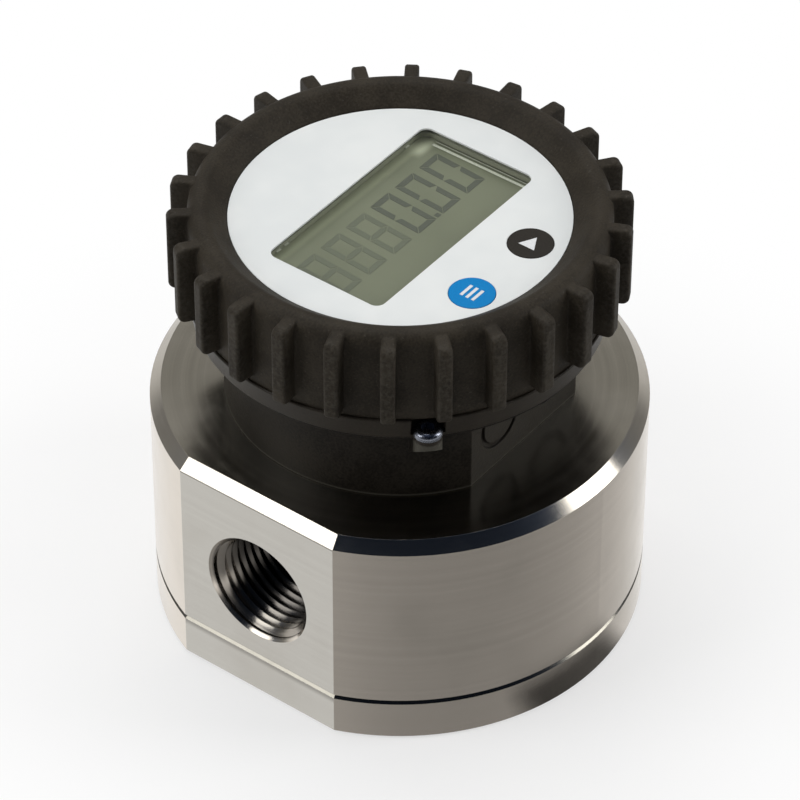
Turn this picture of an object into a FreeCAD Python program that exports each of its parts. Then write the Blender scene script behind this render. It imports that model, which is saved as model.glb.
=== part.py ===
"""Oval gear flow meter with a round display head.

A stainless body with two threaded ports holds a pair of toothed oval rotors. A plastic neck on top
carries the display: cover, liquid crystal panel, keys and a ribbed rubber boot.
Millimetres, +Z up, origin at the centre of the base, flow along X.
"""
import FreeCAD
import Part
import math
import os

from FreeCAD import Vector

# Meter body and base cap
body_radius = 45.0
flat_distance = 41.65
body_height = 37.15
cap_height = 9.1
top_chamfer = 2.05
seam_chamfer = 0.85
foot_chamfer = 0.4
edge_break = 0.15

# Threaded ports on the two flats, at the major radius of the thread
port_rise = 15.8
port_thread_radius = 10.48
port_thread_length = 15.0
port_mouth_chamfer = 0.6
port_passage_radius = 6.5

# Oval rotors: the pitch oval's radius is the mean radius plus or minus the swing
rotor_mean_radius = 13.5
rotor_swing = 2.5
rotor_height = 24.0
tooth_count = 18
tooth_addendum = 0.7
tooth_dedendum = 1.1
tooth_tip_share = 0.07
tooth_root_share = 0.19
rotor_clearance = 0.3

# Shafts, bushes and magnets of the rotors
shaft_radius = 3.0
shaft_seat_depth = 4.0
shaft_end_gap = 0.1
bush_wall = 2.0
running_clearance = 0.03
seat_clearance = 0.02
magnet_radius = 2.0
magnet_height = 3.0
magnet_distance = 9.5
magnet_cover = 0.4

# Seals: section radius of each ring, and how far the grooves stand clear of it
body_seal_section = 0.8
housing_seal_section = 0.9
housing_seal_inset = 2.3
cover_seal_section = 0.8
cover_seal_inset = 3.4
seal_side_gap = 0.2
seal_face_gap = 0.02

# Screws: shank radius, length below the head, head radius and head height
cap_screw_count = 6
cap_screw_angle = 30.0
cap_screw_inset = 5.0
cap_screw_radius = 2.0
cap_screw_grip = 10.0
cap_head_radius = 3.5
cap_head_height = 4.0
housing_screw_count = 4
housing_screw_angle = 45.0
housing_screw_circle = 20.0
housing_screw_radius = 2.0
housing_screw_grip = 7.0
housing_head_radius = 3.5
housing_head_height = 2.4
cover_screw_radius = 1.5
cover_screw_grip = 1.7
cover_head_radius = 2.6
cover_head_height = 1.4
cover_head_rounding = 1.2
board_screw_count = 4
board_screw_angle = 45.0
board_screw_circle = 27.5
board_screw_radius = 1.0
board_screw_grip = 3.0
board_head_radius = 1.9
board_head_height = 1.5
screw_clearance = 0.2
screw_end_gap = 0.8
head_clearance = 0.3
socket_share = 0.52
socket_depth_share = 0.55

# Display neck: round with one flat side and a tapered flange on top
neck_flat_depth = 4.1
neck_height = 18.25
neck_wall = 2.8
neck_floor = 3.0
flange_overhang = 0.8
flange_rim = 0.6
flange_taper = 2.6
mark_radius = 5.4
mark_groove_width = 0.9
mark_groove_depth = 0.5
mark_spacing = 14.6
mark_rise = 9.6

# Sensor nose of the neck, over the path of the rotor's magnets
nose_radius = 4.8
nose_wall = 1.5
nose_clearance = 0.2
chamber_roof = 3.0
sensor_clearance = 0.1
sensor_height = 7.0

# Screw ears of the cover, on the tapered lugs of the neck
ear_count = 3
ear_angle = 224.7
ear_offset = 1.2
ear_radius = 2.5
ear_height = 0.85
ear_pocket_gap = 0.4
lug_rim = 1.1
lug_slope = 0.84

# Battery and its holder
cell_radius = 7.15
cell_length = 49.2
cell_nub_radius = 2.75
cell_nub_length = 1.2
holder_wall = 0.9
holder_floor = 1.2
cell_clearance = 0.15
holder_neck_gap = 1.55

# Display cover
cover_radius = 35.8
cover_height = 19.1
cover_wall = 2.5
cover_face = 2.2
cover_edge_radius = 1.2
cover_foot_height = 2.8
cover_foot_width = 5.2
collar_height = 4.5
collar_low_overhang = 1.2
collar_high_overhang = 2.0
collar_edge_radius = 0.3

# Overlay, window and liquid crystal panel
label_radius = 30.2
label_thickness = 0.35
window_length = 45.3
window_width = 24.4
window_corner = 1.8
window_shift = -0.4
lens_margin = 2.6
lens_thickness = 1.2
lens_clearance = 0.1
opening_margin = 0.6
lcd_length = 49.0
lcd_width = 28.0
lcd_thickness = 2.0
lcd_gap = 0.15
lcd_frame_wall = 1.2
lcd_frame_clearance = 0.15
contact_length = 44.0
contact_width = 2.0
contact_inset = 1.2

# Circuit board, hung from bosses under the cover's face
board_radius = 30.2
board_thickness = 1.6
board_drop = 6.5
boss_radius = 2.2

# Keys and their switches
key_radius = 4.1
key_height = 0.95
key_proud = 0.08
key_row = -22.8
program_key_x = -9.7
select_key_x = 7.3
key_travel = 0.5
key_clearance = 0.09
key_stem_radius = 1.8
key_stem_clearance = 0.3
key_floor_gap = 0.1
switch_size = 6.0
switch_height = 1.6
switch_gap = 0.15

# Rubber boot
boot_gap = 0.1
boot_wall = 1.4
rim_inner_gap = 0.15
rim_lip_height = 0.45
rim_slope = 40.0
rim_edge_radius = 0.3
shoulder_radius = 2.4
rib_count = 26
rib_phase = 6.58
rib_depth = 3.6
rib_width = 2.6
rib_edge_radius = 0.5
rib_end_radius = 1.4
rib_foot_gap = 1.2
rib_top_drop = 0.63
rib_top_slope = 0.1
rib_root = 0.5
rib_crown_inset = 1.9

# Heights worked out from the sizes above
body_top = cap_height + body_height
port_axis = cap_height + port_rise
chamber_top = cap_height + rotor_height + 2 * rotor_clearance
neck_top = body_top + neck_height
neck_inside = body_top + neck_floor
cover_top = neck_top + cover_height
face_bottom = cover_top - cover_face
lens_bottom = cover_top - lens_thickness
lcd_top = face_bottom - lcd_gap
lcd_bottom = lcd_top - lcd_thickness
board_top = cover_top - board_drop
board_bottom = board_top - board_thickness
ear_top = neck_top + ear_height
collar_top = neck_top + collar_height
boot_foot = collar_top

# Radii worked out from the sizes above
rotor_tip_radius = rotor_mean_radius + rotor_swing + tooth_addendum
chamber_radius = rotor_tip_radius + rotor_clearance
chamber_reach = rotor_mean_radius + chamber_radius
cap_screw_circle = body_radius - cap_screw_inset
cap_hole_reach = cap_screw_circle - cap_screw_radius - screw_clearance
body_seal_circle = (chamber_reach + cap_hole_reach) / 2
bush_inner = shaft_radius + running_clearance
bush_outer = bush_inner + bush_wall
cell_room = cell_length + cell_nub_length + 2 * cell_clearance
cell_trough = cell_radius + cell_clearance
holder_length = cell_room + 2 * holder_wall
neck_inner = math.hypot(holder_length / 2, cell_trough) + holder_neck_gap
neck_radius = neck_inner + neck_wall
neck_flat = neck_radius - neck_flat_depth
housing_seal_circle = neck_flat - housing_seal_inset
cover_seal_circle = cover_radius - cover_seal_inset
cover_foot_radius = cover_radius - cover_foot_width
collar_low_radius = cover_radius + collar_low_overhang
collar_high_radius = cover_radius + collar_high_overhang
flange_radius = cover_radius + flange_overhang
ear_distance = cover_radius + ear_offset
boot_inner = cover_radius + boot_gap
boot_outer = boot_inner + boot_wall
rib_radius = boot_outer + rib_depth
boot_lip = label_radius + rim_inner_gap
ear_root = neck_radius - neck_wall / 2
sensor_y = rotor_mean_radius - magnet_distance

# The boot's rim: its inner slope and outer wall would meet at the apex, rounded down to the crest
rim_lip = cover_top + rim_lip_height
rim_apex = rim_lip + (boot_outer - boot_lip) * math.tan(math.radians(rim_slope))
rim_crest = rim_apex + shoulder_radius - shoulder_radius / math.tan(math.radians(45 - rim_slope / 2))


def cylinder(radius, low, high, x=0.0, y=0.0):
    """Upright cylinder between two heights."""
    return Part.makeCylinder(radius, high - low, Vector(x, y, low))


def block(length, width, low, high, x=0.0, y=0.0):
    """Upright box centred on x, y."""
    corner = Vector(x - length / 2, y - width / 2, low)
    return Part.makeBox(length, width, high - low, corner)


def polar(distance, degrees):
    """Point at a distance and angle in the XY plane."""
    angle = math.radians(degrees)
    return Vector(distance * math.cos(angle), distance * math.sin(angle), 0)


def rounded_face(corners, place):
    """Face inside the corners (u, v, radius), each corner rounded by a tangent arc."""
    trims = []
    for index, (u, v, radius) in enumerate(corners):
        here = Vector(u, v, 0)
        if radius == 0:
            trims.append((here, here, here))
            continue
        last = corners[index - 1]
        following = corners[(index + 1) % len(corners)]
        back = (Vector(last[0], last[1], 0) - here).normalize()
        ahead = (Vector(following[0], following[1], 0) - here).normalize()
        half = back.getAngle(ahead) / 2
        reach = radius / math.tan(half)
        inward = (back + ahead).normalize()
        middle = here + inward * (radius / math.sin(half) - radius)
        trims.append((here + back * reach, middle, here + ahead * reach))
    edges = []
    for index, (start, middle, end) in enumerate(trims):
        before = trims[index - 1][2]
        edges.append(Part.LineSegment(place(before), place(start)).toShape())
        if start != end:
            edges.append(Part.Arc(place(start), place(middle), place(end)).toShape())
    return Part.Face(Part.Wire(edges))


def in_section(point):
    """Place a profile's radius and height in the XZ plane."""
    return Vector(point.x, 0, point.y)


def turned(corners):
    """Solid of revolution about Z from a profile of (radius, height, rounding)."""
    return rounded_face(corners, in_section).revolve(Vector(0, 0, 0), Vector(0, 0, 1), 360)


def rounded_plate(length, width, corner, low, high, y=0.0):
    """Plate with rounded corners, centred on X."""
    u = length / 2
    v = width / 2
    corners = [(-u, y - v, corner), (u, y - v, corner), (u, y + v, corner), (-u, y + v, corner)]
    face = rounded_face(corners, lambda point: Vector(point.x, point.y, low))
    return face.extrude(Vector(0, 0, high - low))


def ring(inner, outer, low, high):
    """Flat ring about Z."""
    return cylinder(outer, low, high).cut(cylinder(inner, low, high))


def around(shape, count, first=0.0):
    """Copies of a shape at equal angles about Z."""
    copies = []
    for index in range(count):
        copy = shape.copy()
        copy.rotate(Vector(0, 0, 0), Vector(0, 0, 1), first + index * 360.0 / count)
        copies.append(copy)
    return copies


def cut_all(shape, tools):
    """Shape less each of the tools."""
    return shape.cut(Part.makeCompound(tools))


def socket_screw(radius, length, head_radius, head_height, rounding=0):
    """Socket head screw: head on the XY plane, shank down the Z axis."""
    socket = socket_share * head_radius
    points = [polar(socket, 60.0 * index) for index in range(7)]
    hexagon = Part.Face(Part.makePolygon(points))
    depth = socket_depth_share * head_height
    hexagon.translate(Vector(0, 0, head_height - depth))
    screw = turned([(0, -length, 0), (radius, -length, 0), (radius, 0, 0), (head_radius, 0, 0),
                    (head_radius, head_height, rounding), (0, head_height, 0)])
    return screw.cut(hexagon.extrude(Vector(0, 0, depth)))


def seal_groove(circle, section, low, high):
    """Room of a ring seal between two faces."""
    return ring(circle - section - seal_side_gap, circle + section + seal_side_gap, low, high)


def seal_ring(circle, section, height):
    """Round ring seal about Z."""
    return Part.makeTorus(circle, section, Vector(0, 0, height), Vector(0, 0, 1))


def seal_depth(section):
    """Depth of the groove that holds a ring seal between two closed faces."""
    return 2 * (section + seal_face_gap)


def flatted_disc(low, high, low_chamfer, high_chamfer):
    """Round block with the two milled flats, its lower and upper edges chamfered all round."""
    inset_low = body_radius - low_chamfer
    inset_high = body_radius - high_chamfer
    profile = [(0, low, 0), (inset_low, low, 0), (body_radius, low + low_chamfer, 0),
               (body_radius, high - high_chamfer, 0), (inset_high, high, 0), (0, high, 0)]
    flat_low = flat_distance - low_chamfer
    flat_high = flat_distance - high_chamfer
    across = [(-flat_low, low, 0), (flat_low, low, 0), (flat_distance, low + low_chamfer, 0),
              (flat_distance, high - high_chamfer, 0), (flat_high, high, 0), (-flat_high, high, 0),
              (-flat_distance, high - high_chamfer, 0), (-flat_distance, low + low_chamfer, 0)]
    slab = rounded_face(across, in_section)
    slab.translate(Vector(0, -body_radius, 0))
    return turned(profile).common(slab.extrude(Vector(0, 2 * body_radius, 0)))


def port(side):
    """Port bore on one flat: mouth chamfer, threaded length and passage to the chamber."""
    out = Vector(side, 0, 0)
    face = Vector(side * flat_distance, 0, port_axis)
    mouth_radius = port_thread_radius + port_mouth_chamfer
    mouth = Part.makeCone(mouth_radius, port_thread_radius, port_mouth_chamfer, face, out * -1)
    bore = Part.makeCylinder(port_thread_radius, port_thread_length, face, out * -1)
    passage = Part.makeCylinder(port_passage_radius, flat_distance, face, out * -1)
    return [mouth, bore, passage]


def rotor_centres():
    """Axes of the two rotors, one each side of the flow."""
    return {"a": rotor_mean_radius, "b": -rotor_mean_radius}


def cap_screw_holes(radius, low, high):
    """Holes on the circle of the cap's screws, clear of the flats."""
    return around(cylinder(radius, low, high, cap_screw_circle), cap_screw_count, cap_screw_angle)


def housing_screw_holes(radius, low, high):
    """Holes on the circle of the screws between neck and body."""
    return around(cylinder(radius, low, high, housing_screw_circle), housing_screw_count, housing_screw_angle)


def meter_body():
    """Body with the measuring chamber, the two ports and the seats of shafts, screws and sensor."""
    body = flatted_disc(cap_height, body_top, edge_break, top_chamfer)
    tools = port(1) + port(-1)
    for y in rotor_centres().values():
        tools.append(cylinder(chamber_radius, cap_height, chamber_top, 0, y))
        seat_end = chamber_top + shaft_seat_depth
        tools.append(cylinder(shaft_radius + seat_clearance, chamber_top, seat_end, 0, y))
    grip_end = cap_height + cap_screw_grip + screw_end_gap
    tools += cap_screw_holes(cap_screw_radius + seat_clearance, cap_height, grip_end)
    housing_end = body_top - housing_screw_grip - screw_end_gap
    tools += housing_screw_holes(housing_screw_radius + seat_clearance, housing_end, body_top)
    tools.append(cylinder(nose_radius + nose_clearance, chamber_top + chamber_roof, body_top, 0, sensor_y))
    return cut_all(body, tools)


def base_cap():
    """Lower plate with the seal's groove, the lower seats of the shafts and sunk screw holes."""
    cap = flatted_disc(0, cap_height, foot_chamfer, seam_chamfer)
    groove_floor = cap_height - seal_depth(body_seal_section)
    tools = [seal_groove(body_seal_circle, body_seal_section, groove_floor, cap_height)]
    for y in rotor_centres().values():
        tools.append(cylinder(shaft_radius + seat_clearance, cap_height - shaft_seat_depth, cap_height, 0, y))
    tools += cap_screw_holes(cap_screw_radius + screw_clearance, 0, cap_height)
    tools += cap_screw_holes(cap_head_radius + head_clearance, 0, cap_head_height + head_clearance)
    return cut_all(cap, tools)


def cap_screws():
    """Screws that hold the cap, put in from below."""
    length = cap_height - cap_head_height - head_clearance + cap_screw_grip
    screw = socket_screw(cap_screw_radius, length, cap_head_radius, cap_head_height)
    screw.rotate(Vector(0, 0, 0), Vector(1, 0, 0), 180)
    screw.translate(Vector(cap_screw_circle, 0, cap_head_height + head_clearance))
    return Part.makeCompound(around(screw, cap_screw_count, cap_screw_angle))


def rotor_shaft(y):
    """Fixed shaft from the cap through the chamber into the body's roof."""
    low = cap_height - shaft_seat_depth + shaft_end_gap
    high = chamber_top + shaft_seat_depth - shaft_end_gap
    return cylinder(shaft_radius, low, high, 0, y)


def oval_outline(height):
    """Face of a rotor: straight sided teeth at equal angles on the pitch oval."""
    pitch = 2 * math.pi / tooth_count
    points = []
    for tooth in range(tooth_count):
        for share, offset in ((-tooth_root_share, -tooth_dedendum), (-tooth_tip_share, tooth_addendum),
                              (tooth_tip_share, tooth_addendum), (tooth_root_share, -tooth_dedendum)):
            angle = (tooth + share) * pitch
            reach = rotor_mean_radius + rotor_swing * math.cos(2 * angle) + offset
            points.append(Vector(reach * math.cos(angle), reach * math.sin(angle), height))
    points.append(points[0])
    return Part.Face(Part.makePolygon(points))


def magnet_places():
    """Magnets sit on the rotor's long axis, one each side of its bore."""
    return (Vector(magnet_distance, 0, 0), Vector(-magnet_distance, 0, 0))


def magnet_top():
    """The magnets end just under the rotor's upper face."""
    return chamber_top - rotor_clearance - magnet_cover


def oval_rotor(y, turn, with_magnets):
    """Rotor with its bore, turned about its own axis and set on its shaft."""
    low = cap_height + rotor_clearance
    high = low + rotor_height
    rotor = oval_outline(low).extrude(Vector(0, 0, rotor_height))
    tools = [cylinder(bush_outer + seat_clearance, low, high)]
    if with_magnets:
        for spot in magnet_places():
            pocket = magnet_radius + seat_clearance
            tools.append(cylinder(pocket, magnet_top() - magnet_height, high, spot.x, spot.y))
    rotor = cut_all(rotor, tools)
    rotor.rotate(Vector(0, 0, 0), Vector(0, 0, 1), turn)
    rotor.translate(Vector(0, y, 0))
    return rotor


def rotor_magnets(y):
    """Magnets of one rotor, in their pockets."""
    magnets = []
    for spot in magnet_places():
        high = magnet_top()
        magnets.append(cylinder(magnet_radius, high - magnet_height, high, spot.x, spot.y + y))
    return Part.makeCompound(magnets)


def rotor_bush(y):
    """Plain bearing in a rotor's bore."""
    bush = ring(bush_inner, bush_outer, cap_height + rotor_clearance, chamber_top - rotor_clearance)
    bush.translate(Vector(0, y, 0))
    return bush


def ear_post(radius, low, high):
    """Round post at the first ear, with a web towards the middle."""
    corner = Vector(ear_root, -radius, low)
    web = Part.makeBox(ear_distance - ear_root, 2 * radius, high - low, corner)
    return cylinder(radius, low, high, ear_distance).fuse(web)


def ear_holes(radius, low, high):
    """Holes on the axes of the ears."""
    return around(cylinder(radius, low, high, ear_distance), ear_count, ear_angle)


def screw_lug():
    """Lug of the neck under the first ear, its underside tapered towards the neck."""
    reach = ear_distance + ear_radius
    rim_low = neck_top - lug_rim
    low = rim_low - (reach - ear_root) * lug_slope
    taper = turned([(ear_root, low, 0), (reach, rim_low, 0), (reach, neck_top, 0), (ear_root, neck_top, 0)])
    return ear_post(ear_radius, low, neck_top).common(taper)


def moulded_marks():
    """Two round grooves in the flat side of the neck."""
    marks = []
    for x in (-mark_spacing / 2, mark_spacing / 2):
        centre = Vector(x, -neck_flat, body_top + mark_rise)
        inward = Vector(0, 1, 0)
        outer = Part.makeCylinder(mark_radius, mark_groove_depth, centre, inward)
        inner = Part.makeCylinder(mark_radius - mark_groove_width, mark_groove_depth, centre, inward)
        marks.append(outer.cut(inner))
    return marks


def flat_sided(radius, flat, low, high):
    """Round block with one flat towards -Y."""
    side = Part.makeBox(2 * radius, 2 * radius, high - low, Vector(-radius, -flat, low))
    return cylinder(radius, low, high).common(side)


def display_housing():
    """Neck of the display: flat sided cup with a flange, screw lugs and the sensor's nose."""
    inner_flat = neck_flat - neck_wall
    rim_low = neck_top - flange_rim
    flange = turned([(inner_flat, rim_low - flange_taper, 0), (flange_radius, rim_low, 0),
                     (flange_radius, neck_top, 0), (inner_flat, neck_top, 0)])
    housing = flat_sided(neck_radius, neck_flat, body_top, neck_top).fuse(flange)
    housing = housing.fuse(around(screw_lug(), ear_count, ear_angle))
    nose_low = chamber_top + chamber_roof + nose_clearance
    housing = housing.fuse(cylinder(nose_radius, nose_low, neck_inside, 0, sensor_y))
    tools = [flat_sided(neck_inner, inner_flat, neck_inside, neck_top)]
    tools += ear_holes(cover_screw_radius + seat_clearance, neck_top - cover_screw_grip, neck_top)
    tools += housing_screw_holes(housing_screw_radius + screw_clearance, body_top, neck_inside)
    tools.append(cylinder(nose_radius - nose_wall, nose_low + nose_wall, neck_inside, 0, sensor_y))
    tools += moulded_marks()
    groove_top = body_top + seal_depth(housing_seal_section)
    tools.append(seal_groove(housing_seal_circle, housing_seal_section, body_top, groove_top))
    return cut_all(housing, tools).removeSplitter()


def housing_screws():
    """Screws from inside the neck into the body."""
    length = neck_floor + housing_screw_grip
    screw = socket_screw(housing_screw_radius, length, housing_head_radius, housing_head_height)
    screw.translate(Vector(housing_screw_circle, 0, neck_inside))
    return Part.makeCompound(around(screw, housing_screw_count, housing_screw_angle))


def reed_sensor():
    """Sensor capsule at the bottom of the nose."""
    low = chamber_top + chamber_roof + nose_clearance + nose_wall
    radius = nose_radius - nose_wall - sensor_clearance
    rounding = radius / 3
    capsule = turned([(0, low, 0), (radius, low, 0), (radius, low + sensor_height, rounding),
                      (0, low + sensor_height, 0)])
    capsule.translate(Vector(0, sensor_y, 0))
    return capsule


def cell_axis():
    """Height of the battery's axis over the neck's floor."""
    return neck_inside + holder_floor + cell_trough


def along_x(radius, start, length):
    """Cylinder along X at the battery's height."""
    return Part.makeCylinder(radius, length, Vector(start, 0, cell_axis()), Vector(1, 0, 0))


def battery_cell():
    """Cylindrical cell with its raised contact."""
    start = -(cell_length + cell_nub_length) / 2
    can = along_x(cell_radius, start, cell_length)
    return can.fuse(along_x(cell_nub_radius, start + cell_length, cell_nub_length))


def battery_holder():
    """Open cradle of the cell, on the neck's floor."""
    cradle = block(holder_length, 2 * cell_trough, neck_inside, cell_axis())
    return cradle.cut(along_x(cell_trough, -cell_room / 2, cell_room))


def board_posts(radius, low, high):
    """Cylinders on the axes of the board's screws."""
    return around(cylinder(radius, low, high, board_screw_circle), board_screw_count, board_screw_angle)


def display_cover():
    """Cover with the lens recess, the key guides, board bosses, a collar and the screw ears."""
    inside = cover_radius - cover_wall
    foot_top = neck_top + cover_foot_height
    cover = turned([(cover_foot_radius, neck_top, 0), (collar_low_radius, neck_top, collar_edge_radius),
                    (collar_high_radius, collar_top, collar_edge_radius), (cover_radius, collar_top, 0),
                    (cover_radius, cover_top, cover_edge_radius), (0, cover_top, 0), (0, face_bottom, 0),
                    (inside, face_bottom, 0), (inside, foot_top, 0), (cover_foot_radius, foot_top, 0)])
    ear = ear_post(ear_radius, neck_top, ear_top).cut(cylinder(inside, neck_top, ear_top))
    cover = cover.fuse(around(ear, ear_count, ear_angle))
    cover = cover.fuse(board_posts(boss_radius, board_top, face_bottom))
    lens_room = 2 * (lens_margin + lens_clearance)
    opening = 2 * opening_margin
    tools = [rounded_plate(window_length + lens_room, window_width + lens_room, window_corner,
                           lens_bottom, cover_top, window_shift),
             rounded_plate(window_length + opening, window_width + opening, window_corner,
                           face_bottom, cover_top, window_shift)]
    key_floor = cover_top + label_thickness + key_proud - key_height - key_travel - key_floor_gap
    for x in (program_key_x, select_key_x):
        tools.append(cylinder(key_radius + key_clearance, key_floor, cover_top, x, key_row))
        tools.append(cylinder(key_stem_radius + key_stem_clearance, face_bottom, cover_top, x, key_row))
    tools += ear_holes(cover_screw_radius + screw_clearance, neck_top, ear_top)
    tools += ear_holes(cover_head_radius + ear_pocket_gap, ear_top, cover_top)
    groove_top = neck_top + seal_depth(cover_seal_section)
    tools.append(seal_groove(cover_seal_circle, cover_seal_section, neck_top, groove_top))
    grip_end = board_top + board_screw_grip + seat_clearance
    tools += board_posts(board_screw_radius + seat_clearance, board_top, grip_end)
    return cut_all(cover, tools).removeSplitter()


def cover_screws():
    """Screws through the cover's ears into the neck's lugs."""
    length = ear_height + cover_screw_grip
    screw = socket_screw(cover_screw_radius, length, cover_head_radius, cover_head_height,
                         cover_head_rounding)
    screw.translate(Vector(ear_distance, 0, ear_top))
    return Part.makeCompound(around(screw, ear_count, ear_angle))


def window_lens():
    """Clear pane in the cover's recess."""
    margin = 2 * lens_margin
    return rounded_plate(window_length + margin, window_width + margin, window_corner,
                         lens_bottom, cover_top, window_shift)


def front_label():
    """Printed overlay with the window and the holes of the keys."""
    top = cover_top + label_thickness
    label = cylinder(label_radius, cover_top, top)
    tools = [rounded_plate(window_length, window_width, window_corner, cover_top, top, window_shift)]
    for x in (program_key_x, select_key_x):
        tools.append(cylinder(key_radius + key_clearance, cover_top, top, x, key_row))
    return cut_all(label, tools)


def lcd_panel():
    """Liquid crystal glass."""
    return block(lcd_length, lcd_width, lcd_bottom, lcd_top, 0, window_shift)


def lcd_frame():
    """Frame that holds the glass over the board."""
    length = lcd_length + 2 * lcd_frame_clearance
    width = lcd_width + 2 * lcd_frame_clearance
    wall = 2 * lcd_frame_wall
    outer = block(length + wall, width + wall, board_top, lcd_top, 0, window_shift)
    return outer.cut(block(length, width, board_top, lcd_top, 0, window_shift))


def contact_strips():
    """Elastomer strips between the board and the glass, along its long edges."""
    reach = lcd_width / 2 - contact_inset - contact_width / 2
    strips = []
    for y in (window_shift - reach, window_shift + reach):
        strips.append(block(contact_length, contact_width, board_top, lcd_bottom, 0, y))
    return Part.makeCompound(strips)


def circuit_board():
    """Round board with its screw holes."""
    board = cylinder(board_radius, board_bottom, board_top)
    return cut_all(board, board_posts(board_screw_radius + screw_clearance, board_bottom, board_top))


def board_screws():
    """Screws from below through the board into the cover's bosses."""
    screw = socket_screw(board_screw_radius, board_thickness + board_screw_grip,
                         board_head_radius, board_head_height)
    screw.rotate(Vector(0, 0, 0), Vector(1, 0, 0), 180)
    screw.translate(Vector(board_screw_circle, 0, board_bottom))
    return Part.makeCompound(around(screw, board_screw_count, board_screw_angle))


def key_switches():
    """Low switches on the board, one under each key."""
    switches = []
    for x in (program_key_x, select_key_x):
        switches.append(block(switch_size, switch_size, board_top, board_top + switch_height, x, key_row))
    return Part.makeCompound(switches)


def key(x):
    """Round key with the stem that reaches down to its switch."""
    top = cover_top + label_thickness + key_proud
    cap = cylinder(key_radius, top - key_height, top, x, key_row)
    foot = board_top + switch_height + key_travel + switch_gap
    return cap.fuse(cylinder(key_stem_radius, foot, top - key_height, x, key_row)).removeSplitter()


def boot_rib():
    """One grip rib: rounded ends in its side view, and rounded edges along both of its sides."""
    foot = boot_foot + rib_foot_gap
    top = rim_crest - rib_top_drop
    root = boot_inner + rib_root
    crown = boot_outer - rib_crown_inset
    side = rounded_face([(root, foot, 0), (rib_radius, foot, rib_end_radius),
                         (rib_radius, top, rib_end_radius), (crown, top + rib_top_slope, 0),
                         (root, cover_top, 0)], in_section)
    side.translate(Vector(0, -rib_width / 2, 0))
    rib = side.extrude(Vector(0, rib_width, 0))
    side_edges = []
    for edge in rib.Edges:
        ends = edge.Vertexes
        along_side = abs(ends[0].Y - ends[-1].Y) < rib_width / 2
        if along_side and max(ends[0].X, ends[-1].X) > boot_outer:
            side_edges.append(edge)
    return rib.makeFillet(rib_edge_radius, side_edges)


def rubber_boot():
    """Boot over the cover, on its collar: ribbed wall and a rim that slopes down to the overlay."""
    boot = turned([(boot_inner, boot_foot, 0), (boot_outer, boot_foot, 0),
                   (boot_outer, rim_apex, shoulder_radius), (boot_lip, rim_lip, rim_edge_radius),
                   (boot_lip, cover_top, 0), (boot_inner, cover_top, 0)])
    return boot.fuse(around(boot_rib(), rib_count, rib_phase)).removeSplitter()


def all_nodes():
    """Every piece of the meter by its name."""
    centres = rotor_centres()
    return {
        "meter_body": meter_body(),
        "base_cap": base_cap(),
        "body_seal": seal_ring(body_seal_circle, body_seal_section,
                               cap_height - seal_depth(body_seal_section) / 2),
        "cap_screws": cap_screws(),
        "rotor_shaft_a": rotor_shaft(centres["a"]),
        "rotor_shaft_b": rotor_shaft(centres["b"]),
        "oval_rotor_a": oval_rotor(centres["a"], 0, True),
        "oval_rotor_b": oval_rotor(centres["b"], 90, False),
        "rotor_bush_a": rotor_bush(centres["a"]),
        "rotor_bush_b": rotor_bush(centres["b"]),
        "rotor_magnets": rotor_magnets(centres["a"]),
        "display_housing": display_housing(),
        "housing_seal": seal_ring(housing_seal_circle, housing_seal_section,
                                  body_top + seal_depth(housing_seal_section) / 2),
        "housing_screws": housing_screws(),
        "reed_sensor": reed_sensor(),
        "battery_holder": battery_holder(),
        "battery_cell": battery_cell(),
        "circuit_board": circuit_board(),
        "board_screws": board_screws(),
        "key_switches": key_switches(),
        "contact_strips": contact_strips(),
        "lcd_frame": lcd_frame(),
        "lcd_panel": lcd_panel(),
        "window_lens": window_lens(),
        "display_cover": display_cover(),
        "cover_seal": seal_ring(cover_seal_circle, cover_seal_section,
                                neck_top + seal_depth(cover_seal_section) / 2),
        "cover_screws": cover_screws(),
        "front_label": front_label(),
        "program_button": key(program_key_x),
        "select_button": key(select_key_x),
        "rubber_boot": rubber_boot(),
    }


os.makedirs("parts", exist_ok=True)
for name, shape in all_nodes().items():
    shape.exportStep(os.path.join("parts", name + ".step"))
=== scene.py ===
"""Looks of an oval gear flow meter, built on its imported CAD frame.

Metres, +Z up, origin at the centre of the base, ports along X.
"""
import bmesh
import bpy
import math
from mathutils import Matrix, Vector


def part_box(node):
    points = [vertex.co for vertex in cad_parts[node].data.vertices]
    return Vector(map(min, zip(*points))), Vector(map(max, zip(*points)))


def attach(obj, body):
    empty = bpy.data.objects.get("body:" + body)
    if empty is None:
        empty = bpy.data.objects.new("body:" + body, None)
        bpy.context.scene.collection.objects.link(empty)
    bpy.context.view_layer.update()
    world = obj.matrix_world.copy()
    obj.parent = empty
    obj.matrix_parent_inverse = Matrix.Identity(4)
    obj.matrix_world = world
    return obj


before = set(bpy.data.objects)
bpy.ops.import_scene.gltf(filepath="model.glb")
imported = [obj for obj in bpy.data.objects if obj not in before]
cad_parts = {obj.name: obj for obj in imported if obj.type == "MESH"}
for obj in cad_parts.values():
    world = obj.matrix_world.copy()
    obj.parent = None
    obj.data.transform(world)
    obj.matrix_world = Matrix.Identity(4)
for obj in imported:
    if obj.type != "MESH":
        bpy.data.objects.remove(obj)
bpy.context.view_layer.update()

mm = 0.001

# Height of the ports' axis above the base, in millimetres
port_axis = 24.9

# Thickness of the ink on the display and the keys, in metres
ink = 0.03 * mm

# Range in which most values of a noise lie
noise_range = (0.3, 0.7)


def span(low, high):
    """A range in metres, from millimetres."""
    return (low * mm, high * mm)


def rgb(red, green, blue):
    """An opaque colour."""
    return (red, green, blue, 1.0)


def grey(value):
    """A neutral colour."""
    return rgb(value, value, value)


# Materials

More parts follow.
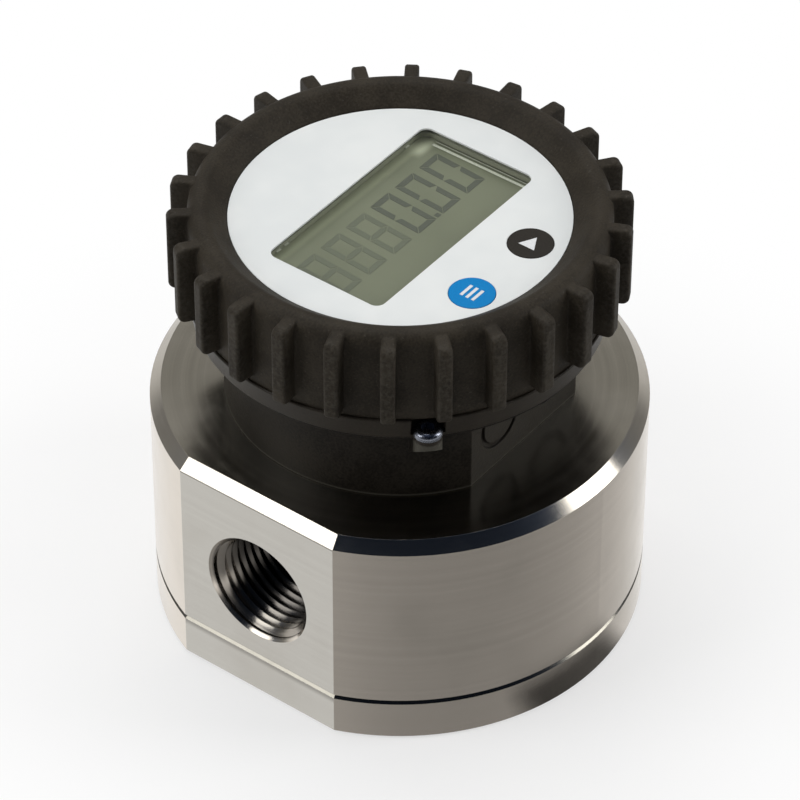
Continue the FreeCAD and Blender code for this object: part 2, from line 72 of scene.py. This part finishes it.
class Net:
    """Node tree of one material or world, built node by node."""

    def __init__(self, owner):
        owner.use_nodes = True
        self.owner = owner
        self.tree = owner.node_tree
        self.tree.nodes.clear()

    def add(self, kind, settings=None, inputs=None):
        """A new node. Each input takes a constant or the output socket that feeds it."""
        node = self.tree.nodes.new(kind)
        for key, value in (settings or {}).items():
            setattr(node, key, value)
        for key, value in (inputs or {}).items():
            if isinstance(value, bpy.types.NodeSocket):
                self.tree.links.new(value, node.inputs[key])
            else:
                node.inputs[key].default_value = value
        return node

    def coordinates(self, kind):
        """Texture coordinates of one kind."""
        return self.add("ShaderNodeTexCoord").outputs[kind]

    def split(self, vector):
        """The three parts of a vector."""
        return tuple(self.add("ShaderNodeSeparateXYZ", None, {0: vector}).outputs)

    def place(self):
        """The three parts of the place on the piece, in metres."""
        return self.split(self.coordinates("Object"))

    def facing(self):
        """The three parts of the surface's direction, in the piece's own axes."""
        return self.split(self.coordinates("Normal"))

    def math(self, operation, first, second=0.0, third=0.0):
        """One arithmetic step."""
        settings = {"operation": operation}
        return self.add("ShaderNodeMath", settings, {0: first, 1: second, 2: third}).outputs[0]

    def times(self, first, second):
        """Product of two values."""
        return self.math("MULTIPLY", first, second)

    def larger(self, first, second):
        """The larger of two values."""
        return self.math("MAXIMUM", first, second)

    def size(self, value):
        """A value without its sign."""
        return self.math("ABSOLUTE", value)

    def rest(self, share):
        """What a share leaves of one."""
        return self.math("SUBTRACT", 1.0, share)

    def weighted(self, first, first_weight, second, second_weight):
        """Sum of two values with their weights."""
        return self.math("ADD", self.times(first, first_weight), self.times(second, second_weight))

    def reach(self, first, second):
        """Length of a vector with two parts."""
        return self.math("SQRT", self.weighted(first, first, second, second))

    def cosine(self, x, y, direction):
        """Cosine of the angle between a place and a direction, both seen from above."""
        return self.math("DIVIDE", self.weighted(x, direction[0], y, direction[1]), self.reach(x, y))

    def remap(self, value, bounds, low=0.0, high=1.0):
        """A value taken smoothly from its bounds to a range from low to high."""
        inputs = {"Value": value, "From Min": bounds[0], "From Max": bounds[1], "To Min": low, "To Max": high}
        return self.add("ShaderNodeMapRange", {"interpolation_type": "SMOOTHSTEP"}, inputs).outputs["Result"]

    def fall(self, value, bounds, share=1.0):
        """A share below the bounds that goes down to nothing above them."""
        return self.remap(value, bounds, share, 0.0)

    def band(self, value, rise, fall, share=1.0):
        """A share between a rising and a falling edge, and nothing outside."""
        return self.times(self.remap(value, rise), self.fall(value, fall, share))

    def noise(self, scale, detail=2.0):
        """Cloudy noise between 0 and 1; scale is in features per metre."""
        inputs = {"Scale": scale, "Detail": detail, "Vector": self.coordinates("Object")}
        return self.add("ShaderNodeTexNoise", None, inputs).outputs["Fac"]

    def lines(self, value, scale, detail=2.0):
        """Noise along one value, for turned or milled lines."""
        inputs = {"W": value, "Scale": scale, "Detail": detail, "Roughness": 0.6}
        return self.add("ShaderNodeTexNoise", {"noise_dimensions": "1D"}, inputs).outputs["Fac"]

    def cell_edges(self, scale):
        """Distance to the edges of scattered cells; scale is in cells per metre."""
        inputs = {"Scale": scale, "Vector": self.coordinates("Object")}
        return self.add("ShaderNodeTexVoronoi", {"feature": "DISTANCE_TO_EDGE"}, inputs).outputs["Distance"]

    def blend(self, share, first, second):
        """Mix of two colours."""
        return self.add("ShaderNodeMix", {"data_type": "RGBA"}, {0: share, 6: first, 7: second}).outputs[2]

    def mottle(self, noise, dark, light, bounds=noise_range):
        """Two colours mixed by a noise."""
        return self.blend(self.remap(noise, bounds), dark, light)

    def spread(self, noise, low, high):
        """A noise taken to lie between two numbers."""
        return self.remap(noise, noise_range, low, high)

    def bump(self, height, strength, depth, edge=None):
        """Relief of a depth in metres; sharp edges look rounded by the radius that edge gives."""
        inputs = {"Height": height, "Strength": strength, "Distance": depth}
        if edge is not None:
            inputs["Normal"] = self.add("ShaderNodeBevel", {"samples": 6}, {"Radius": edge}).outputs["Normal"]
        return self.add("ShaderNodeBump", None, inputs).outputs["Normal"]

    def mix(self, share, first, second):
        """Mix of two shaders."""
        return self.add("ShaderNodeMixShader", None, {0: share, 1: first, 2: second}).outputs[0]

    def surface(self, inputs):
        """Finish with one principled surface."""
        return self.finish(self.add("ShaderNodeBsdfPrincipled", None, inputs).outputs[0])

    def finish(self, shader):
        """Send a shader to the output."""
        self.add("ShaderNodeOutputMaterial", None, {"Surface": shader})
        return self.owner


def material_net(name):
    """Empty net of a new material."""
    return Net(bpy.data.materials.new(name))


def turned_steel():
    """Stainless steel: turned top and wall, paler milled flats; painted shade on the top face, the chamfers,
    beside the seam and in the ports.
    """
    net = material_net("turned_steel")
    x, y, z = net.place()
    facing = net.facing()
    slope = net.size(facing[2])
    level = net.remap(slope, (0.5, 0.9))
    bevelled = net.band(slope, (0.45, 0.6), (0.8, 0.95), share=0.8)
    milled = net.remap(net.size(facing[0]), (0.95, 0.98))

    # Turned lines follow the radius on the top and the height on the wall
    across = net.weighted(net.reach(x, y), level, z, net.rest(level))
    fine = net.lines(across, 9000.0, detail=3.0)
    broad = net.lines(across, 700.0)
    tone = net.weighted(fine, 0.55, broad, 0.45)
    cloud = net.noise(60.0, detail=3.0)
    smear = net.noise(260.0, detail=4.0)

    # A dark joint in the seam, with painted shade beside it on the flats and under the flats' chamfers
    seam = net.band(z, span(8.15, 8.35), span(9.0, 9.2), share=0.8)
    below_seam = net.band(z, span(6.8, 8.3), span(8.3, 8.4), share=0.5)
    above_seam = net.band(z, span(9.0, 9.05), span(9.1, 9.5), share=0.7)
    under_chamfer = net.band(z, span(43.8, 44.0), span(44.1, 44.2), share=0.6)
    shade_on_flats = net.larger(under_chamfer, net.larger(below_seam, above_seam))
    joint_and_shade = net.larger(seam, net.times(milled, shade_on_flats))

    # Painted shade in the ports, darker further in
    from_axis = net.reach(y, net.math("SUBTRACT", z, port_axis * mm))
    deep = net.remap(net.size(x), span(33.5, 40.5), 0.95, 0.5)
    port_shade = net.times(net.fall(from_axis, span(10.5, 10.8)), deep)

    wall = net.mottle(tone, rgb(0.68, 0.618, 0.542), rgb(0.72, 0.655, 0.574))
    # The top face gets a much darker colour than the wall of the same steel: painted shade
    top = net.mottle(tone, rgb(0.265, 0.245, 0.203), rgb(0.32, 0.297, 0.248))
    flat = net.mottle(tone, rgb(0.655, 0.63, 0.58), rgb(0.69, 0.665, 0.61))
    # The chamfers get a darker colour than the wall of the same steel: painted shade
    shaded_chamfer = rgb(0.38, 0.35, 0.30)
    stain = rgb(0.5, 0.465, 0.405)
    # Colour of the seam's dark joint and of the painted shade on the flats
    joint_and_shade_colour = rgb(0.13, 0.125, 0.105)
    # Colour of the painted shade in the ports
    port_shade_colour = rgb(0.06, 0.055, 0.05)
    colour = net.blend(milled, net.blend(level, wall, top), flat)
    colour = net.blend(bevelled, colour, shaded_chamfer)
    colour = net.blend(net.remap(cloud, (0.45, 0.75), high=0.25), colour, stain)
    colour = net.blend(joint_and_shade, colour, joint_and_shade_colour)
    colour = net.blend(port_shade, colour, port_shade_colour)
    line_rough = net.remap(tone, (0.25, 0.75), 0.15, 0.21)
    rough = net.math("ADD", line_rough, net.remap(smear, (0.4, 0.8), high=0.04))
    normal = net.bump(fine, strength=0.16, depth=0.02 * mm, edge=0.12 * mm)
    tangent = net.add("ShaderNodeTangent", {"direction_type": "RADIAL", "axis": "Z"}).outputs[0]
    return net.surface({"Base Color": colour, "Metallic": 1.0, "Roughness": rough, "Normal": normal,
                        "Anisotropic": 0.75, "Anisotropic Rotation": 0.25, "Tangent": tangent})


def plain_metal(name, dark, light, rough):
    """Small metal parts: screws, shafts and magnets."""
    swing = 0.06
    net = material_net(name)
    grain = net.noise(4000.0, detail=3.0)
    colour = net.mottle(grain, dark, light)
    roughness = net.spread(grain, rough - swing, rough + swing)
    normal = net.bump(grain, strength=0.1, depth=0.02 * mm, edge=0.08 * mm)
    return net.surface({"Base Color": colour, "Metallic": 1.0, "Roughness": roughness, "Normal": normal})


def paint_surround_light(net, colour, tint):
    """The cover's colour, with painted light on the walls around the display's glass, pale olive like the
    glass's edge seen through the pane.
    """
    x, y = net.place()[:2]
    across = net.fall(net.size(x), span(25.2, 25.6))
    along = net.fall(net.size(y), span(14.8, 15.2))
    return net.blend(net.times(across, along), colour, tint)


def paint_lug_and_foot_light(net, colour, tint):
    """The neck's colour, with painted light on the front of each screw lug and a painted highlight along the
    line at its foot.
    """
    lug_count = 3.0
    first_lug = math.radians(224.7)
    x, y, z = net.place()
    turn = net.math("SUBTRACT", net.math("ARCTAN2", y, x), first_lug)
    beside = net.remap(net.math("COSINE", net.times(turn, lug_count)), (0.97, 0.98))
    outside = net.remap(net.reach(x, y), span(36.5, 37.2))
    colour = net.blend(net.times(beside, outside), colour, tint)
    # Painted highlight along the line at the neck's foot
    return net.blend(net.fall(z, span(46.4, 46.8)), colour, tint)


def moulded(name, dark, light, rough, grain_scale, grain_depth, edge, level=0.3, surround_light=None, lug_and_foot_light=None):
    """Moulded plastic with an eroded grain; the last two arguments are colours of painted light around the
    display's glass and on each neck lug and the neck's foot.
    """
    swing = 0.05
    net = material_net(name)
    grain = net.noise(grain_scale, detail=3.0)
    cloud = net.noise(180.0, detail=3.0)
    colour = net.mottle(net.weighted(grain, 0.65, cloud, 0.35), dark, light, (0.38, 0.62))
    # Painted light on the walls around the display's glass
    if surround_light is not None:
        colour = paint_surround_light(net, colour, surround_light)
    # Painted light on each screw lug and along the neck's foot
    if lug_and_foot_light is not None:
        colour = paint_lug_and_foot_light(net, colour, lug_and_foot_light)
    roughness = net.math("ADD", net.spread(grain, rough - swing, rough + swing),
                         net.remap(cloud, (0.4, 0.8), high=0.05))
    normal = net.bump(grain, strength=0.6, depth=grain_depth, edge=edge)
    return net.surface({"Base Color": colour, "Roughness": roughness, "Normal": normal,
                        "Specular IOR Level": level})


def boot_rubber():
    """Dark rubber: fine grain, scuffed ribs and a little dust."""
    net = material_net("boot_rubber")
    x, y = net.place()[:2]
    grain = net.noise(2400.0, detail=3.0)
    cloud = net.noise(130.0, detail=4.0)
    dust = net.remap(net.noise(1900.0), (0.66, 0.74), high=0.25)
    crests = net.remap(net.reach(x, y), span(38.3, 39.7), high=0.28)
    scuff = net.times(crests, net.remap(net.noise(1300.0, detail=4.0), (0.42, 0.62)))
    dark = rgb(0.0205, 0.0165, 0.0115)
    light = rgb(0.0385, 0.0318, 0.0227)
    worn = rgb(0.07, 0.063, 0.052)
    dusty = rgb(0.10, 0.09, 0.08)
    colour = net.mottle(net.weighted(grain, 0.5, cloud, 0.5), dark, light, (0.36, 0.64))
    colour = net.blend(scuff, colour, worn)
    colour = net.blend(dust, colour, dusty)
    rough = net.spread(grain, 0.52, 0.66)
    normal = net.bump(grain, strength=0.7, depth=0.08 * mm, edge=0.7 * mm)
    return net.surface({"Base Color": colour, "Roughness": rough, "Normal": normal,
                        "Specular IOR Level": 0.12})


def label_film():
    """White printed film with a satin grain."""
    net = material_net("label_film")
    grain = net.noise(3800.0)
    colour = net.mottle(net.noise(90.0), rgb(0.74, 0.765, 0.76), rgb(0.79, 0.81, 0.80))
    rough = net.spread(grain, 0.34, 0.44)
    normal = net.bump(grain, strength=0.15, depth=0.01 * mm)
    return net.surface({"Base Color": colour, "Roughness": rough, "Normal": normal})


def lcd_glass():
    """Reflective liquid crystal glass, olive grey, with painted light along its upper edge and more at one of
    its corners, lifting the shade of the recess.
    """
    net = material_net("lcd_glass")
    x, y = net.place()[:2]
    # Painted light that lifts the recess's shade along the upper edge, and more at one of its corners
    edge = net.remap(y, span(9.8, 11.3))
    corner_light = net.times(net.remap(x, span(16.5, 19.5)), net.remap(y, span(8.5, 10.5)))
    colour = net.mottle(net.noise(70.0), rgb(0.162, 0.172, 0.112), rgb(0.19, 0.2, 0.133))
    colour = net.blend(edge, colour, rgb(0.38, 0.40, 0.28))
    colour = net.blend(corner_light, colour, rgb(0.6, 0.62, 0.46))
    rough = net.spread(net.noise(6000.0), 0.28, 0.40)
    return net.surface({"Base Color": colour, "Roughness": rough, "Specular IOR Level": 0.4})


def lens_clear():
    """Clear pane: what lies below shows through, with a faint gloss."""
    net = material_net("lens_clear")
    rough = net.remap(net.noise(120.0, detail=3.0), (0.3, 0.8), 0.02, 0.08)
    gloss = net.add("ShaderNodeBsdfGlossy", None, {"Color": grey(1.0), "Roughness": rough}).outputs[0]
    clear = net.add("ShaderNodeBsdfTransparent", None, {"Color": rgb(0.97, 0.98, 0.97)}).outputs[0]
    front = net.rest(net.add("ShaderNodeNewGeometry").outputs["Backfacing"])
    fresnel = net.add("ShaderNodeFresnel", None, {"IOR": 1.25}).outputs[0]
    return net.finish(net.mix(net.times(front, fresnel), clear, gloss))


def printed(name, light, dark, rough, level=0.3):
    """Flat ink or key film with a faint grain."""
    swing = 0.04
    net = material_net(name)
    grain = net.noise(3000.0)
    colour = net.mottle(grain, dark, light)
    roughness = net.spread(grain, rough - swing, rough + swing)
    normal = net.bump(grain, strength=0.12, depth=0.01 * mm, edge=0.15 * mm)
    return net.surface({"Base Color": colour, "Roughness": roughness, "Normal": normal,
                        "Specular IOR Level": level})


def circuit_laminate():
    """Green board with faint copper tracks."""
    net = material_net("board_laminate")
    tracks = net.remap(net.cell_edges(500.0), (0.03, 0.06))
    colour = net.blend(tracks, rgb(0.03, 0.16, 0.06), rgb(0.01, 0.09, 0.035))
    rough = net.spread(net.noise(2500.0), 0.32, 0.45)
    return net.surface({"Base Color": colour, "Roughness": rough})


steel = turned_steel()
slot_materials = {
    "stainless": steel,
    "screw_steel": plain_metal("screw_steel", rgb(0.17, 0.18, 0.21), rgb(0.26, 0.275, 0.31), rough=0.26),
    "shaft_steel": plain_metal("shaft_steel", rgb(0.5, 0.49, 0.47), rgb(0.6, 0.59, 0.57), rough=0.18),
    "rotor_plastic": moulded("rotor_plastic", grey(0.03), grey(0.05), rough=0.4,
                             grain_scale=2500.0, grain_depth=0.02 * mm, edge=0.1 * mm),
    "bush_carbon": moulded("bush_carbon", grey(0.02), grey(0.04), rough=0.45,
                           grain_scale=3000.0, grain_depth=0.01 * mm, edge=0.1 * mm),
    "magnet": plain_metal("magnet", rgb(0.3, 0.3, 0.31), rgb(0.4, 0.4, 0.41), rough=0.35),
    "seal_rubber": moulded("seal_rubber", grey(0.015), grey(0.025), rough=0.5,
                           grain_scale=4000.0, grain_depth=0.01 * mm, edge=0.05 * mm),
    # The housing's last colour is painted light on its screw lug fronts and foot line
    "housing_plastic": moulded("housing_plastic", rgb(0.0085, 0.0069, 0.005), rgb(0.0185, 0.0152, 0.0114),
                               rough=0.42, grain_scale=2200.0, grain_depth=0.08 * mm, edge=0.4 * mm,
                               level=0.13, lug_and_foot_light=rgb(0.06, 0.056, 0.045)),
    # The cover's last colour is painted light on the walls around the display's glass
    "cover_plastic": moulded("cover_plastic", rgb(0.022, 0.0179, 0.0131), rgb(0.029, 0.024, 0.0178),
                             rough=0.36, grain_scale=2600.0, grain_depth=0.02 * mm, edge=0.3 * mm,
                             level=0.12, surround_light=rgb(0.30, 0.305, 0.23)),
    "sensor_resin": moulded("sensor_resin", grey(0.03), grey(0.05), rough=0.3,
                            grain_scale=2000.0, grain_depth=0.02 * mm, edge=0.2 * mm),
    "battery_sleeve": printed("battery_sleeve", rgb(0.25, 0.27, 0.29), rgb(0.18, 0.2, 0.22), rough=0.35),
    "board_laminate": circuit_laminate(),
    "frame_plastic": moulded("frame_plastic", rgb(0.5, 0.5, 0.48), rgb(0.6, 0.6, 0.58), rough=0.45,
                             grain_scale=2000.0, grain_depth=0.02 * mm, edge=0.2 * mm),
    "lcd_glass": lcd_glass(),
    "lens_clear": lens_clear(),
    "label_film": label_film(),
    "key_blue": printed("key_blue", rgb(0.0, 0.22, 0.56), rgb(0.0, 0.2, 0.52), rough=0.36, level=0.12),
    "key_black": printed("key_black", rgb(0.026, 0.022, 0.017), rgb(0.02, 0.017, 0.013),
                         rough=0.4, level=0.12),
    "boot_rubber": boot_rubber(),
}
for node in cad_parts.values():
    for index, old in enumerate(node.data.materials):
        node.data.materials[index] = slot_materials[old.name.split(".")[0]]


# Pieces

def new_piece(name, mesh, material, body="meter"):
    """A finished piece on one body."""
    piece = bpy.data.objects.new(name, mesh)
    bpy.context.scene.collection.objects.link(piece)
    piece.data.materials.append(material)
    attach(piece, body)


def mesh_from(name, points, faces, smooth=False):
    """Mesh from points in metres, with its faces turned outwards."""
    mesh = bpy.data.meshes.new(name)
    mesh.from_pydata(points, [], faces)
    work = bmesh.new()
    work.from_mesh(mesh)
    bmesh.ops.recalc_face_normals(work, faces=work.faces)
    work.to_mesh(mesh)
    work.free()
    for polygon in mesh.polygons:
        polygon.use_smooth = smooth
    return mesh


def port_thread(name, side):
    """Ridge of the pipe thread in one port, cut by the cone of the mouth and running out inside.

    Lengths are in millimetres. The profile gives places in pitches and shares of the ridge's height.
    """
    flat = 41.65
    pitch = 1.814
    crest = 9.32
    root = 10.47
    sunk = 0.02
    foot = root + sunk
    cone = 11.12
    start = -0.3
    set_back = 0.03
    turns = 7.9
    run_out = 0.35
    least_rise = 0.02
    steps = 72
    sharp = math.radians(50)
    count = int(turns * steps)
    profile = [(-0.5, 0.0), (-0.3, 0.38), (-0.06, 0.94), (0.0, 1.0), (0.06, 0.94), (0.3, 0.38), (0.5, 0.0)]
    points = []
    for index in range(count + 1):
        turn = index / steps
        angle = 2 * math.pi * turn
        grown = max(min(1.0, turn / run_out, (turns - turn) / run_out), least_rise)
        for along, rise in profile:
            depth = max(start + (turn + 0.5 + along) * pitch, set_back)
            ridge = foot - (foot - crest) * rise * grown
            radius = max(ridge, cone - depth)
            points.append((side * (flat - depth) * mm, radius * math.cos(angle) * mm,
                           (port_axis + radius * math.sin(angle)) * mm))
    width = len(profile)
    faces = []
    for index in range(count):
        for step in range(width):
            a = index * width + step
            b = index * width + (step + 1) % width
            faces.append((a, b, b + width, a + width))
    faces.append(tuple(range(width)))
    faces.append(tuple(range(count * width, (count + 1) * width)))
    mesh = mesh_from("port_thread", points, faces, True)
    mesh.set_sharp_from_angle(angle=sharp)
    new_piece(name, mesh, steel)


port_thread("outlet_thread", 1)
port_thread("inlet_thread", -1)


def plates(name, outlines, low, thickness, material, body="meter"):
    """Thin flat plates from outlines in millimetres, as one piece."""
    points = []
    faces = []
    for outline in outlines:
        first = len(points)
        count = len(outline)
        points += [(x * mm, y * mm, low) for x, y in outline]
        points += [(x * mm, y * mm, low + thickness) for x, y in outline]
        faces.append(tuple(range(first, first + count)))
        faces.append(tuple(range(first + count, first + 2 * count)))
        for step in range(count):
            a = first + step
            b = first + (step + 1) % count
            faces.append((a, b, b + count, a + count))
    new_piece(name, mesh_from(name, points, faces), material, body)


def seven_segments(left):
    """Outlines of the seven mitred bars of one digit: top, middle, bottom, then left and right pairs."""
    bottom = -3.85
    width = 5.25
    height = 11.25
    bar = 1.2
    slant = 0.062
    gap = 0.11
    half = bar / 2
    middle = bottom + height / 2
    top = bottom + height
    right = left + width

    def lean(points):
        return [(x + (y - bottom) * slant, y) for x, y in points]

    def outer_bar(outer, inner):
        return lean([(left + gap, outer), (right - gap, outer), (right - bar - gap, inner),
                     (left + bar + gap, inner)])

    def upright(outer, inward, end, up):
        inner = outer + inward * bar
        return lean([(outer, end - up * gap), (inner, end - up * (bar + gap)),
                     (inner, middle + up * (half + gap)), (outer, middle + up * gap)])

    near_left = left + gap * 2
    near_right = right - gap * 2
    crossbar = lean([(near_left, middle), (near_left + bar, middle - half),
                     (near_right - bar, middle - half), (near_right, middle),
                     (near_right - bar, middle + half), (near_left + bar, middle + half)])
    return [outer_bar(top, top - bar), crossbar, outer_bar(bottom, bottom + bar),
            upright(left, 1, bottom, -1), upright(left, 1, top, 1),
            upright(right, -1, bottom, -1), upright(right, -1, top, 1)]


def strip(x0, y0, x1, y1):
    """Outline of one rectangle."""
    return [(x0, y0), (x1, y0), (x1, y1), (x0, y1)]


def display_pieces():
    """Three faint unlit digits, three noughts with their point, painted highlights on the glass's edges, and
    painted glints on small raised plates.
    """
    digit_count = 6
    unlit_count = 3
    first_left = -21.0
    digit_pitch = 7.09
    clip_rise = 0.8 * mm
    faint_ink = 0.02 * mm
    lcd_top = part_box("lcd_panel")[1][2]
    dark_segments = []
    pale_segments = []
    for index in range(digit_count):
        bars = seven_segments(first_left + digit_pitch * index)
        if index < unlit_count:
            pale_segments += bars
        else:
            # A nought has all bars but the middle one
            dark_segments += bars[:1] + bars[2:]
    dark_segments.append(strip(5.95, -3.8, 6.95, -2.8))
    # Pale strips as painted highlights on the glass's edges, and small raised pale plates as painted glints
    edges = [strip(21.75, -10.8, 22.35, 9.5), strip(22.9, -10.8, 23.1, 9.5)]
    clip_ends = ((-19.5, -18.4), (-17.3, -16.2), (17.4, 18.4))
    clip_glints = [strip(left, 11.9, right, 12.39) for left, right in clip_ends]
    segment_dark = printed("segment_dark", rgb(0.1, 0.107, 0.083), rgb(0.092, 0.099, 0.075), rough=0.4)
    segment_pale = printed("segment_pale", rgb(0.142, 0.152, 0.109), rgb(0.134, 0.144, 0.101), rough=0.4)
    glass_edge_highlight = printed("glass_edge_highlight", rgb(0.85, 0.86, 0.76), rgb(0.7, 0.71, 0.6), rough=0.25)
    plates("display_digits", dark_segments, lcd_top, ink, segment_dark)
    plates("display_ghosts", pale_segments, lcd_top, faint_ink, segment_pale)
    plates("display_edge_highlights", edges, lcd_top, ink, glass_edge_highlight)
    plates("display_clip_glints", clip_glints, lcd_top + clip_rise, ink, glass_edge_highlight)


def key_icons():
    """Three bars on the blue key and a triangle on the black one."""
    key_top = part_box("program_button")[1][2]
    icon_white = printed("icon_white", rgb(0.8, 0.81, 0.82), rgb(0.74, 0.75, 0.76), rough=0.4)
    bars = [strip(-11.3, -24.3 + step, -8.1, -23.7 + step) for step in (0.0, 1.2, 2.4)]
    triangle = [(6.0, -24.5), (6.0, -21.1), (9.2, -22.8)]
    plates("program_icon", bars, key_top, ink, icon_white, "program_key")
    plates("select_icon", [triangle], key_top, ink, icon_white, "select_key")


display_pieces()
key_icons()


# Stage

def pale_floor():
    """Pale floor that goes over into the background and keeps the part's shadow.

    Mirror rays pass through it to the world, except in a dark contact shadow at one side of the foot.
    """
    contact_side = (-0.087, -0.996)
    net = material_net("pale_floor")
    x, y = net.place()[:2]
    radius = net.reach(x, y)
    path = net.add("ShaderNodeLightPath").outputs
    seen = path["Is Camera Ray"]
    mirrored = net.larger(path["Is Glossy Ray"], path["Is Transmission Ray"])
    beside = net.remap(net.cosine(x, y, contact_side), (0.93, 0.985))
    contact = net.times(beside, net.fall(radius, span(49.5, 54.5), share=0.85))
    paper = net.mottle(net.noise(40.0), grey(0.9), grey(0.92))
    diffuse = net.add("ShaderNodeBsdfDiffuse", None, {"Color": paper}).outputs[0]
    white = net.add("ShaderNodeEmission", None, {"Strength": seen}).outputs[0]
    whitened = net.times(seen, net.remap(radius, span(50.0, 120.0), 0.6, 1.0))
    ground = net.mix(net.larger(whitened, mirrored), diffuse, white)
    clear = net.add("ShaderNodeBsdfTransparent").outputs[0]
    return net.finish(net.mix(net.times(mirrored, net.rest(contact)), ground, clear))


def stage_floor():
    """Round floor a little below the part's foot."""
    height = -0.2 * mm
    rings = (0.2, 0.6, 3.0)
    count = 64
    points = [(0.0, 0.0, height)]
    for reach in rings:
        for step in range(count):
            angle = 2 * math.pi * step / count
            points.append((reach * math.cos(angle), reach * math.sin(angle), height))
    faces = []
    for step in range(count):
        following = (step + 1) % count
        faces.append((0, 1 + step, 1 + following))
        for level in range(len(rings) - 1):
            a = 1 + level * count + step
            b = 1 + level * count + following
            faces.append((a, a + count, b + count, b))
    floor = bpy.data.objects.new("floor", mesh_from("floor", points, faces))
    bpy.context.scene.collection.objects.link(floor)
    floor.data.materials.append(pale_floor())


def soft_light(name, place, width, height, power):
    """One softbox turned to the middle of the part."""
    target = Vector((0, 0, 0.05))
    lamp = bpy.data.lights.new(name, "AREA")
    lamp.shape = "RECTANGLE"
    lamp.size = width
    lamp.size_y = height
    lamp.energy = power
    holder = bpy.data.objects.new(name, lamp)
    holder.location = place
    holder.rotation_euler = (target - Vector(place)).to_track_quat("-Z", "Y").to_euler()
    bpy.context.scene.collection.objects.link(holder)


def studio_world():
    """Even fill light; mirrors see a white horizon, with a ground below and a room above.

    Both are paler behind the part than in front of it, where the room is also cooler.
    """
    fill = 0.25
    front_to_back = (-0.6, 0.6)
    room_front = 0.02
    room_back = 0.54
    bright_side = (0.375, 0.927)
    world = bpy.data.worlds.new("studio")
    bpy.context.scene.world = world
    net = Net(world)
    x, y, z = net.split(net.coordinates("Generated"))
    path = net.add("ShaderNodeLightPath").outputs
    mirrored = net.larger(path["Is Glossy Ray"], path["Is Transmission Ray"])
    seen = net.larger(path["Is Camera Ray"], mirrored)
    behind = net.weighted(x, 0.7, y, 0.7)
    room = net.times(net.remap(behind, front_to_back, room_front, room_back),
                     net.remap(z, (0.1, 0.65), 0.5, 1.0))

    # The ground grows paler from its dark side, where turn is 0, to its bright side, where it is 2
    turn = net.math("ADD", net.cosine(x, y, bright_side), 1.0)
    ground = net.math("MULTIPLY_ADD", turn, net.math("MULTIPLY_ADD", turn, 0.18, 0.12), 0.27)
    ground = net.math("MINIMUM", 1.0, net.math("ADD", ground, net.remap(z, (-0.35, -0.1))))

    backdrop = net.larger(net.times(ground, net.fall(z, (-0.05, 0.12))), room)
    strength = net.weighted(seen, backdrop, net.rest(seen), fill)
    cool = net.times(net.remap(z, (0.1, 0.3)), net.fall(behind, front_to_back))
    colour = net.blend(net.times(cool, seen), grey(1.0), rgb(0.6, 0.9, 1.6))
    light = net.add("ShaderNodeBackground", None, {"Color": colour, "Strength": strength}).outputs[0]
    net.add("ShaderNodeOutputWorld", None, {"Surface": light})


def photo_camera():
    """Camera at the photograph's viewing angle."""
    azimuth = math.radians(-52.815)
    elevation = math.radians(41.014)
    roll = math.radians(0.182)
    distance = 0.867135
    focal_pixels = 4786.5
    image_width = 800.0
    sensor_width = 36.0
    target = Vector((2.06, 1.52, 38.74)) * mm
    back = Vector((math.sin(azimuth) * math.cos(elevation), -math.cos(azimuth) * math.cos(elevation),
                   math.sin(elevation)))
    right = Vector((math.cos(azimuth), math.sin(azimuth), 0.0))
    up = back.cross(right)
    level_right = right * math.cos(roll) + up * math.sin(roll)
    level_up = up * math.cos(roll) - right * math.sin(roll)
    lens = bpy.data.cameras.new("camera")
    lens.lens = focal_pixels * sensor_width / image_width
    lens.sensor_width = sensor_width
    lens.clip_start = 0.01
    camera = bpy.data.objects.new("camera", lens)
    bpy.context.scene.collection.objects.link(camera)
    turn = Matrix((level_right, level_up, back)).transposed().to_4x4()
    camera.matrix_world = Matrix.Translation(target + back * distance) @ turn
    bpy.context.scene.camera = camera


stage_floor()
soft_light("top_softbox", (0.2, 0.3, 1.0), width=0.7, height=0.7, power=4.8)
soft_light("left_softbox", (-0.62, 0.435, 0.57), width=0.5, height=0.5, power=3.2)
soft_light("right_softbox", (0.51, -0.655, 0.46), width=0.34, height=0.5, power=3.2)
studio_world()
photo_camera()
bpy.context.scene.view_settings.view_transform = "Standard"
